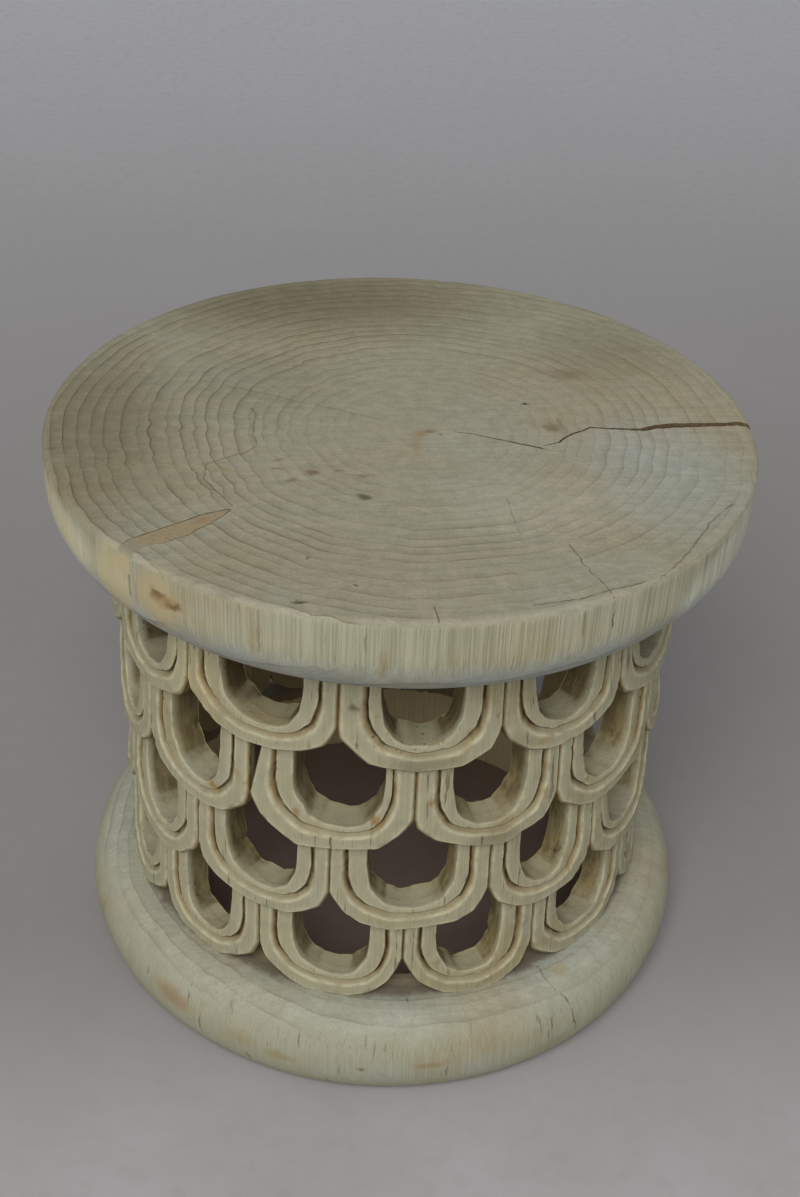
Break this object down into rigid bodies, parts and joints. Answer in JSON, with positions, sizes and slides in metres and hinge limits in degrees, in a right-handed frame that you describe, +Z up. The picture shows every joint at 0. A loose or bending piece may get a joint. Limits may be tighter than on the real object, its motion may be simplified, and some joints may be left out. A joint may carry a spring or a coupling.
{
  "type": "carved wooden table",
  "caption": "Low round table carved from one log: thick top, openwork drum of overlapping U-shaped scales and rounded ring base, for use as a side table or stool.",
  "frame": {"origin": "on the floor, on the table's vertical axis, at the centre of the base ring", "axes": "+Z up; -Y toward the middle of an upper-tier scale, which is the side the picture shows; +X to the right seen from there"},
  "size_m": [0.5, 0.5, 0.435],
  "materials": {
    "end_grain": "bare, sanded end grain with growth rings, satin to matt",
    "carved_wood": "bare, knife-cut, matt",
    "base_wood": "bare, sanded, matt",
    "filler": "sawdust and glue filler, matt"
  },
  "bodies": {
    "root": {"top_slab": "end_grain", "crack_filler": "filler", "base_ring": "base_wood", "tier_1_scale_01": "carved_wood", "tier_1_scale_02": "carved_wood", "tier_1_scale_03": "carved_wood", "tier_1_scale_04": "carved_wood", "tier_1_scale_05": "carved_wood", "tier_1_scale_06": "carved_wood", "tier_1_scale_07": "carved_wood", "tier_1_scale_08": "carved_wood", "tier_1_scale_09": "carved_wood", "tier_1_scale_10": "carved_wood", "tier_1_scale_11": "carved_wood", "tier_1_scale_12": "carved_wood", "tier_2_scale_01": "carved_wood", "tier_2_scale_02": "carved_wood", "tier_2_scale_03": "carved_wood", "tier_2_scale_04": "carved_wood", "tier_2_scale_05": "carved_wood", "tier_2_scale_06": "carved_wood", "tier_2_scale_07": "carved_wood", "tier_2_scale_08": "carved_wood", "tier_2_scale_09": "carved_wood", "tier_2_scale_10": "carved_wood", "tier_2_scale_11": "carved_wood", "tier_2_scale_12": "carved_wood", "tier_3_scale_01": "carved_wood", "tier_3_scale_02": "carved_wood", "tier_3_scale_03": "carved_wood", "tier_3_scale_04": "carved_wood", "tier_3_scale_05": "carved_wood", "tier_3_scale_06": "carved_wood", "tier_3_scale_07": "carved_wood", "tier_3_scale_08": "carved_wood", "tier_3_scale_09": "carved_wood", "tier_3_scale_10": "carved_wood", "tier_3_scale_11": "carved_wood", "tier_3_scale_12": "carved_wood", "tier_4_scale_01": "carved_wood", "tier_4_scale_02": "carved_wood", "tier_4_scale_03": "carved_wood", "tier_4_scale_04": "carved_wood", "tier_4_scale_05": "carved_wood", "tier_4_scale_06": "carved_wood", "tier_4_scale_07": "carved_wood", "tier_4_scale_08": "carved_wood", "tier_4_scale_09": "carved_wood", "tier_4_scale_10": "carved_wood", "tier_4_scale_11": "carved_wood", "tier_4_scale_12": "carved_wood"}
  },
  "joints": []
}
